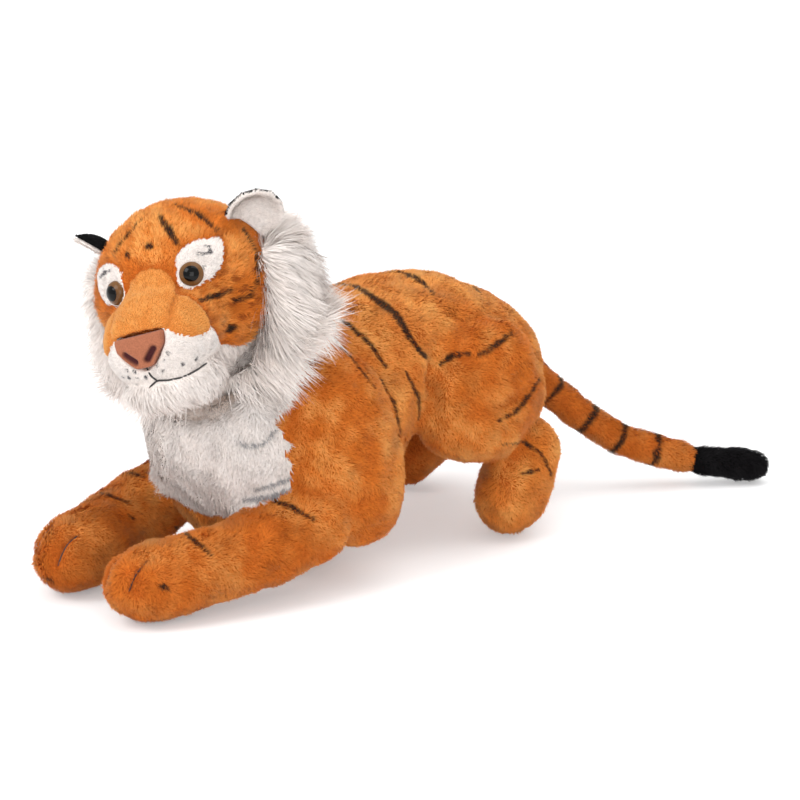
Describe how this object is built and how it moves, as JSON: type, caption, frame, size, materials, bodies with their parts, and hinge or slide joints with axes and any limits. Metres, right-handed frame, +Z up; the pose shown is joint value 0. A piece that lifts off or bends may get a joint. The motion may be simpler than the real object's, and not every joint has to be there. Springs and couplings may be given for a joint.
{
  "type": "plush tiger",
  "caption": "Soft stuffed tiger lying on its belly with its forelegs stretched out, its head turned and framed by long cheek fur, and a tail along the ground.",
  "frame": {"origin": "on the ground under the middle of the whole toy's box", "axes": "+Z up, the toy faces -Y, +X to the toy's own left side, +Y along the body towards the tail"},
  "size_m": [0.33, 0.9142, 0.4506],
  "materials": {
    "orange_pile": "long woven plush pile",
    "tan_pile": "short sheared pile",
    "white_pile": "off-white plush pile",
    "black_pile": "black plush pile",
    "nose_suede": "velour",
    "thread": "embroidery thread",
    "eye_iris": "clear coated",
    "eye_pupil": "clear coated",
    "washer_plastic": "moulded"
  },
  "bodies": {
    "torso": {"torso": "orange_pile", "chest_bib": "white_pile", "shoulder_left": "orange_pile", "shoulder_right": "orange_pile", "haunch_left": "orange_pile", "haunch_right": "orange_pile"},
    "neck": {"neck": "white_pile"},
    "ear_left": {"ear_left_back": "black_pile", "ear_left_front": "white_pile"},
    "ear_right": {"ear_right_back": "black_pile", "ear_right_front": "white_pile"},
    "foreleg_left": {"foreleg_left": "orange_pile", "toe_stitch_left_1": "thread", "toe_stitch_left_2": "thread"},
    "foreleg_right": {"foreleg_right": "orange_pile", "toe_stitch_right_1": "thread", "toe_stitch_right_2": "thread"},
    "hind_foot_left": {"hind_foot_left": "orange_pile"},
    "hind_foot_right": {"hind_foot_right": "orange_pile"},
    "tail": {"tail": "orange_pile", "tail_tip": "black_pile"},
    "head": {"head": "orange_pile", "eye_left": "eye_iris", "eye_pupil_left": "eye_pupil", "eye_washer_left": "washer_plastic", "eye_right": "eye_iris", "eye_pupil_right": "eye_pupil", "eye_washer_right": "washer_plastic", "nose": "nose_suede", "muzzle_bridge": "tan_pile", "muzzle_side_left": "tan_pile", "lip_left": "white_pile", "muzzle_side_right": "tan_pile", "lip_right": "white_pile", "chin": "white_pile", "mouth_stitch": "thread", "brow_left": "white_pile", "brow_right": "white_pile", "ruff_left": "white_pile", "ruff_right": "white_pile"}
  },
  "joints": [
    {"name": "neck_nod", "type": "hinge", "parent": "torso", "child": "neck", "pos_m": [-0.0111, -0.24112, 0.258], "axis": [1, 0, 0], "range_deg": [-8, 8], "stiffness_Nm_per_rad": 8},
    {"name": "head_turn", "type": "hinge", "parent": "neck", "child": "head", "pos_m": [-0.0111, -0.24112, 0.258], "axis": [0, -0.5878, 0.809], "range_deg": [-15, 15], "stiffness_Nm_per_rad": 8},
    {"name": "ear_left_fold", "type": "hinge", "parent": "head", "child": "ear_left", "pos_m": [0.03928, -0.25963, 0.40746], "axis": [0.1912, 0.8671, -0.46], "range_deg": [-10, 10], "stiffness_Nm_per_rad": 0.3},
    {"name": "ear_right_fold", "type": "hinge", "parent": "head", "child": "ear_right", "pos_m": [-0.09409, -0.3273, 0.36498], "axis": [0.5389, -0.761, 0.3613], "range_deg": [-10, 10], "stiffness_Nm_per_rad": 0.3},
    {"name": "foreleg_left_turn", "type": "hinge", "parent": "torso", "child": "foreleg_left", "pos_m": [0.0949, -0.21412, 0.08], "axis": [0, 0, 1], "range_deg": [-4, 20], "stiffness_Nm_per_rad": 12},
    {"name": "foreleg_right_turn", "type": "hinge", "parent": "torso", "child": "foreleg_right", "pos_m": [-0.1171, -0.21412, 0.08], "axis": [0, 0, 1], "range_deg": [-20, 4], "stiffness_Nm_per_rad": 12},
    {"name": "hind_foot_left_turn", "type": "hinge", "parent": "torso", "child": "hind_foot_left", "pos_m": [0.0889, 0.10888, 0.092], "axis": [0, 0, 1], "range_deg": [-12, 12], "stiffness_Nm_per_rad": 10},
    {"name": "hind_foot_right_turn", "type": "hinge", "parent": "torso", "child": "hind_foot_right", "pos_m": [-0.1111, 0.15088, 0.092], "axis": [0, 0, 1], "range_deg": [-12, 12], "stiffness_Nm_per_rad": 10},
    {"name": "tail_turn", "type": "hinge", "parent": "torso", "child": "tail", "pos_m": [-0.0111, 0.18888, 0.168], "axis": [0, 0, 1], "range_deg": [-25, 25], "stiffness_Nm_per_rad": 2}
  ]
}
